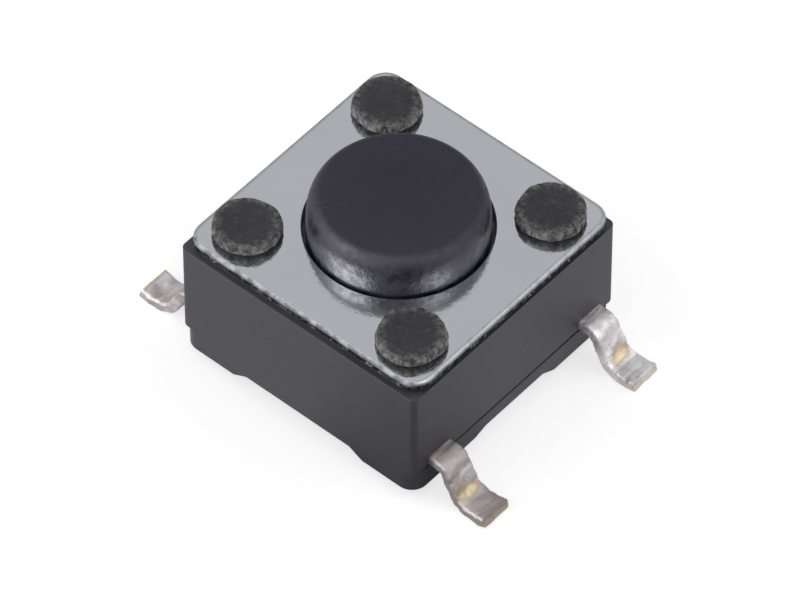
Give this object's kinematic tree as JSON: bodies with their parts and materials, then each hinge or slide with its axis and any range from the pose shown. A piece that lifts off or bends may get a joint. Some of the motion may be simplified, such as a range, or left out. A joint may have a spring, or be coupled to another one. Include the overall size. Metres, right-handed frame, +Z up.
{
  "type": "tactile push button switch",
  "caption": "Square surface-mount tactile switch with a round push button, a steel cover held by melted studs, and gull-wing leads.",
  "frame": {"origin": "centre of the switch on the board plane, level with the undersides of the soldering feet", "axes": "+X along the leads, +Y across them from the centre-contact pair to the rim-contact pair, +Z up out of the board through the button"},
  "size_m": [0.0088, 0.006, 0.0043],
  "materials": {
    "base_plastic": "satin moulded",
    "cover_steel": "polished",
    "button_plastic": "matt",
    "dome_steel": "bright",
    "plated_brass": "silver plated, satin"
  },
  "bodies": {
    "housing": {"base": "base_plastic", "cover": "cover_steel", "snap_dome": "dome_steel", "contact_frame_centre": "plated_brass", "contact_frame_rim": "plated_brass"},
    "button": {"plunger": "button_plastic"}
  },
  "joints": [
    {"name": "button_press", "type": "slide", "parent": "housing", "child": "button", "axis": [0, 0, -1], "range_m": [0, 0.00025], "stiffness_N_per_m": 6400, "springref_m": -0.00002, "deforming": ["snap_dome"]}
  ]
}
